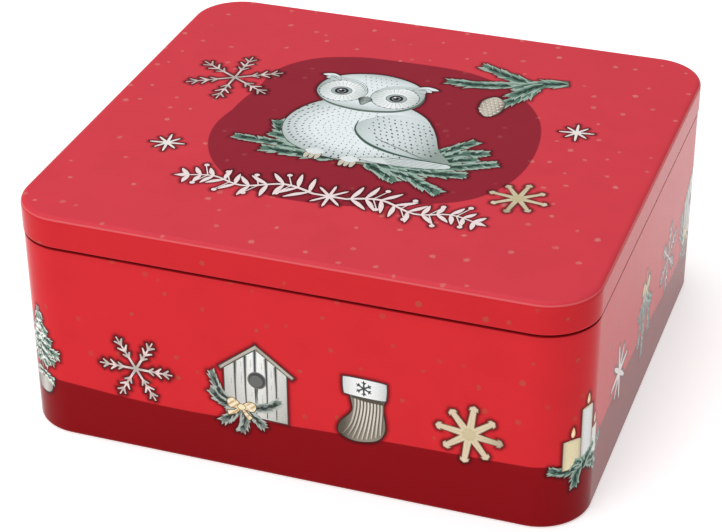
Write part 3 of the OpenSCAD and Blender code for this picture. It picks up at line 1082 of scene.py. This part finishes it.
# Millimetres: how far the film reaches out of the sheet and into it, how far the halo spreads and how fast it
# fades, the spacing of the extra points, and the longest side of a bare face that isn't close beside the ink
FILM_TOP = 0.012
FILM_FOOT = -0.05
HALO_REACH = 2.1
HALO_FADE = 0.95
FINE_STEP = 0.7
COARSE_STEP = 1.5
LONGEST = 1.6
CLOSE_BY = 0.5
OUTLINE_STEP = 0.25
LARGE_AREA = 30


def on_lid(x, y, off):
    """The place and the normal of a point of the lid's top, off millimetres above it."""
    return (x * MM, y * MM, (TOP_Z + off) * MM), (0.0, 0.0, 1.0)


def on_wall(s, z, off):
    """The place and the normal of a point of the unrolled wall, off millimetres in front of it."""
    runs = [column[4] for column in WALL_COLUMNS]
    i = max(1, min(len(runs) - 1, bisect.bisect_right(runs, s)))
    ax, ay, anx, any_, a_run = WALL_COLUMNS[i - 1]
    bx, by, bnx, bny, b_run = WALL_COLUMNS[i]
    t = (s - a_run) / (b_run - a_run)
    nx, ny = anx + (bnx - anx) * t, any_ + (bny - any_) * t
    x = ax + (bx - ax) * t + WALL_R * nx
    y = ay + (by - ay) * t + WALL_R * ny
    return ((x + off * nx) * MM, (y + off * ny) * MM, z * MM), (nx, ny, 0.0)


def sides(polygon):
    """Each corner with the next one, all the way round."""
    return list(zip(polygon, polygon[1:] + polygon[:1]))


def inside(x, y, polygon):
    """Whether x, y lies inside the outline."""
    odd = False
    for (ax, ay), (bx, by) in sides(polygon):
        if (ay > y) != (by > y) and x < ax + (y - ay) / (by - ay) * (bx - ax):
            odd = not odd
    return odd


def signed_area(polygon):
    """The outline's area, positive when it runs anticlockwise."""
    return sum(a[0] * b[1] - b[0] * a[1] for a, b in sides(polygon)) / 2


def outline_tree(polygons):
    """All outlines as a search tree of closely spaced points."""
    samples = []
    for polygon in polygons:
        for (ax, ay), (bx, by) in sides(polygon):
            steps = max(1, round(math.hypot(bx - ax, by - ay) / OUTLINE_STEP))
            samples += [(ax + (bx - ax) * i / steps, ay + (by - ay) * i / steps, 0.0) for i in range(steps)]
    tree = kdtree.KDTree(len(samples))
    for i, sample in enumerate(samples):
        tree.insert(sample, i)
    tree.balance()
    return tree


def grid(polygons, tree):
    """Extra points: close together in the halo round the ink, further apart inside large shapes."""
    large = [polygon for polygon in polygons if abs(signed_area(polygon)) > LARGE_AREA]
    us = [u for polygon in polygons for u, _ in polygon]
    vs = [v for polygon in polygons for _, v in polygon]
    low_u, high_u = min(us) - HALO_REACH, max(us) + HALO_REACH
    low_v, high_v = min(vs) - HALO_REACH, max(vs) + HALO_REACH
    out = []
    for step, coarse in ((FINE_STEP, False), (COARSE_STEP, True)):
        for row in range(int((high_v - low_v) / step) + 1):
            for k in range(int((high_u - low_u) / step) + 1):
                u, v = low_u + (k + 0.5 * (row % 2)) * step, low_v + row * step
                away = tree.find((u, v, 0.0))[2]
                covered = any(inside(u, v, polygon) for polygon in large)
                if away > 0.2 and covered == coarse and (coarse or away < HALO_REACH):
                    out.append((u, v))
    return out


def close_pinches(faces, kept):
    """Keeps every face round a corner where the kept faces would meet in a point only."""
    around = {}
    for i, face in enumerate(faces):
        for v in face:
            around.setdefault(v, []).append(i)
    changed = True
    while changed:
        changed = False
        rims = {}
        for a, b in rim_edges(faces, kept):
            rims[a] = rims.get(a, 0) + 1
        for v, count in rims.items():
            if count > 1:
                kept.update(around[v])
                changed = True


def rim_edges(faces, kept):
    """The directed edges that only one kept face has."""
    edges = {(a, b) for i in kept for a, b in sides(faces[i])}
    return [(a, b) for a, b in edges if (b, a) not in edges]


def ink_film(name, drawing, surface, materials, body, slot, at=(0.0, 0.0), angle=0.0, scale=1.0):
    """Lays a drawing on a sheet as a thin closed film of ink with its soft halo."""
    polygons = []
    for points, _ in drawing.shapes:
        polygon = turned(points, *at, angle, scale)
        polygons.append(polygon if signed_area(polygon) > 0 else polygon[::-1])
    verts, loops = [], []
    for polygon in polygons:
        loops.append(list(range(len(verts), len(verts) + len(polygon))))
        verts += polygon
    tree = outline_tree(polygons)
    verts += grid(polygons, tree)
    edges = []
    if surface is on_wall:
        low, high = min(v for _, v in verts), max(v for _, v in verts)
        steps = math.ceil((high - low) / FINE_STEP)
        for column in WALL_COLUMNS:
            if min(u for u, _ in verts) < column[4] < max(u for u, _ in verts):
                edges += [(len(verts) + i, len(verts) + i + 1) for i in range(steps)]
                verts += [(column[4], low + (high - low) * i / steps) for i in range(steps + 1)]
    found = geometry.delaunay_2d_cdt([Vector(v) for v in verts], edges, loops, 0, 1e-5, True)
    points, faces, owners = found[0], [list(face) for face in found[2]], found[5]

    wet = {v for face, owner in zip(faces, owners) if owner for v in face}
    away = [0.0 if i in wet else tree.find((p.x, p.y, 0.0))[2] for i, p in enumerate(points)]

    def shaded(face):
        """Whether a bare face belongs to the halo: near the ink all over, and small or close beside it."""
        if any(away[v] >= HALO_REACH for v in face):
            return False
        if all((points[a] - points[b]).length < LONGEST for a, b in sides(face)):
            return True
        x, y = (sum(points[v][k] for v in face) / len(face) for k in (0, 1))
        return tree.find((x, y, 0.0))[2] < CLOSE_BY

    kept = {i for i, face in enumerate(faces) if owners[i] or shaded(face)}
    close_pinches(faces, kept)
    kept = sorted(kept)

    used = sorted({v for i in kept for v in faces[i]})
    index = {v: i for i, v in enumerate(used)}
    count = len(used)
    rim = rim_edges(faces, kept)
    rim_points = {a for a, _ in rim}
    tops = [surface(points[v].x, points[v].y, FILM_TOP) for v in used]
    feet = [surface(points[v].x, points[v].y, FILM_FOOT) for v in used]
    shells = [[index[v] for v in faces[i]] for i in kept]
    shells += [[index[v] + count for v in reversed(faces[i])] for i in kept]
    shells += [[index[b], index[a], index[a] + count, index[b] + count] for a, b in rim]
    mesh = bpy.data.meshes.new(name)
    mesh.from_pydata([place for place, _ in tops + feet], [], shells)
    mesh.polygons.foreach_set("use_smooth", [True] * len(shells))

    flat, halo = [], []
    for v in used + used:
        flat += [points[v].x, points[v].y, 1.0 if surface is on_lid else 0.0]
        halo.append(0.0 if v in rim_points else math.exp(-(away[v] / HALO_FADE) ** 2))
    mesh.attributes.new("flat", "FLOAT_VECTOR", "POINT").data.foreach_set("vector", flat)
    mesh.attributes.new("halo", "FLOAT", "POINT").data.foreach_set("value", halo)
    ink, inked, normals = [], [], []
    bare = (0.0, 0.0, 0.0, 1.0)
    for k, i in enumerate(kept):
        drawn = drawing.shapes[max(owners[i])][1] if owners[i] else bare
        for v in faces[i]:
            if callable(drawn):
                (x, y), = turned([(points[v].x - at[0], points[v].y - at[1])], 0, 0, -angle, 1 / scale)
                ink += drawn(x, y)
            else:
                ink += drawn
            inked.append(1.0 if owners[i] else 0.0)
            normals.append(tops[index[v]][1])
    rest = sum(len(shell) for shell in shells[len(kept):])
    ink += bare * rest
    inked += [0.0] * rest
    for polygon in list(mesh.polygons)[len(kept):]:
        normals += [tuple(polygon.normal)] * polygon.loop_total
    mesh.attributes.new("ink", "FLOAT_COLOR", "CORNER").data.foreach_set("color", ink)
    mesh.attributes.new("inked", "FLOAT", "CORNER").data.foreach_set("value", inked)
    mesh.normals_split_custom_set(normals)
    add_piece(name, mesh, materials, body)


# ---------------------------------------------------------------- where the pictures lie

def make_pictures(ink):
    """Every picture, in millimetres: x and y on the lid's top, distance and height on the unrolled wall."""
    def lid(name, drawing, **where):
        ink_film("lid_print_" + name, drawing, on_lid, [ink], "lid", "lid_print", **where)

    def wall(name, drawing, **where):
        ink_film("wall_print_" + name, drawing, on_wall, [ink], "tin", "wall_print", **where)

    lid("owl", owl(3))
    lid("fir_twig", fir_twig(9))
    lid("garland", garland(10))
    lid("snowflake", snowflake(11, 19, 90), at=(-67, 26))
    lid("small_star_left", small_star(12, 6.5), at=(-70, -32))
    lid("small_star_right", small_star(13, 6.5), at=(70, 23))
    lid("wooden_star", wooden_star(14, 11, stout=0.75), at=(63, -31.5))
    wall("fir_tree", fir_tree(20), at=(-97, 35))
    wall("snowflake", snowflake(21, 14, 0), at=(-57.4, 34.5))
    wall("birdhouse", birdhouse(22), at=(-11.4, 42.5))
    wall("stocking", stocking(23), at=(28.5, 37.5))
    wall("wooden_star", wooden_star(24, 12), at=(65.7, 34.2))
    wall("candles", candles(25), at=(107, 33), scale=0.96)
    wall("right_star", small_star(26, 12), at=(150.2, 34))
    wall("right_sprig", fir_sprig(27), at=(190.2, 33))
    wall("right_snowflake", snowflake(28, 14, 20), at=(230, 36))
    wall("right_birdhouse", birdhouse(29), at=(270, 44))
    wall("back_stocking", stocking(30), at=(312, 37.5))
    wall("back_star", wooden_star(31, 12, 10), at=(350, 35))
    wall("back_snowflake", snowflake(32, 14, 10), at=(-350, 35))
    wall("back_tree", fir_tree(33), at=(-314, 35))
    wall("left_candles", candles(34), at=(-279, 35), scale=0.94)
    wall("left_star", small_star(35, 12), at=(-243, 36))
    wall("left_birdhouse", birdhouse(36), at=(-206, 43))
    wall("left_stocking", stocking(37), at=(-168, 38))
    wall("left_snowflake", snowflake(38, 13, 15), at=(-133, 38))


make_camera()
make_light()
make_floor()
red_print = print_material()
tinplate = tinplate_material()
make_lid([red_print, tinplate])
make_wall([red_print, tinplate])
make_weld([tinplate])
make_plate([red_print, tinplate])
make_pictures(red_print)
